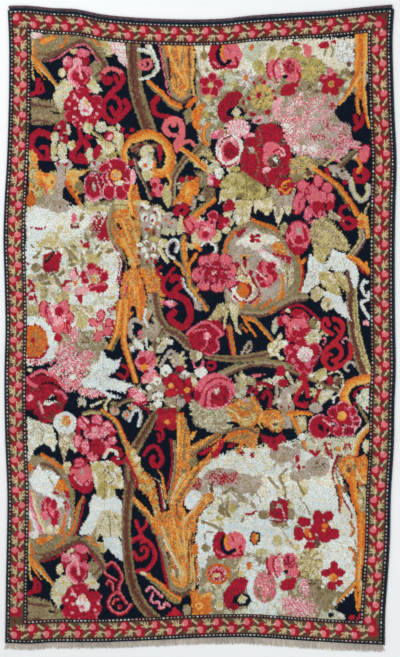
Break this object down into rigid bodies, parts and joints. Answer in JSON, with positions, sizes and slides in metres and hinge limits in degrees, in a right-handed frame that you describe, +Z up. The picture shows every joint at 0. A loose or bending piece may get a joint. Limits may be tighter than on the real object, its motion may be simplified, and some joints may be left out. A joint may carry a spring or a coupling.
{
  "type": "hand-knotted rug",
  "caption": "Oblong hand-knotted wool pile rug with dense rose and scroll field, rose-vine border, wrapped edges and a short fringe at one end.",
  "frame": {"origin": "on the underside, at the middle of the rug's overall box", "axes": "+Y along the rug's length towards the end without a fringe, +X across it, +Z up out of the pile"},
  "size_m": [1.3398, 2.2061, 0.009],
  "materials": {
    "pile": "short wool pile in navy, crimson, pink, orange, olive and cream knots",
    "navy_wrap": "wool yarn wrapped round the edge warps",
    "aubergine_wrap": "wool yarn overcast on the rolled end",
    "warp": "undyed twisted warp ends"
  },
  "bodies": {
    "root": {"knotted_carpet": "pile", "selvedge_left": "navy_wrap", "selvedge_right": "navy_wrap", "top_band": "aubergine_wrap", "bottom_fringe": "warp"}
  },
  "joints": []
}
